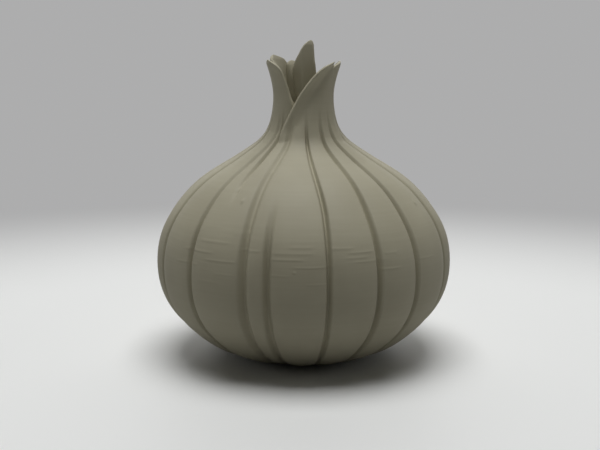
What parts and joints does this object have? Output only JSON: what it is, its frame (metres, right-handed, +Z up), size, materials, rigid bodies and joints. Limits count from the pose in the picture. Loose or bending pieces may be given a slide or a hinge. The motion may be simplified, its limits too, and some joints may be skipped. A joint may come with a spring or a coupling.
{
  "type": "garlic bulb ornament",
  "caption": "Decorative printed garlic bulb: squat lobed body with narrow grooves, an open neck of pointed overlapping leaves and a small flat underside.",
  "frame": {"origin": "middle of the flat underside, on the surface the bulb stands on", "axes": "+Z up through the neck, -Y the side with the long diagonal leaf edge, +X to the right as seen from there"},
  "size_m": [0.0798, 0.08, 0.0852],
  "materials": {
    "matte_print": "matte grey-beige printed plastic with fine horizontal layer lines"
  },
  "bodies": {
    "root": {"garlic_bulb": "matte_print"}
  },
  "joints": []
}
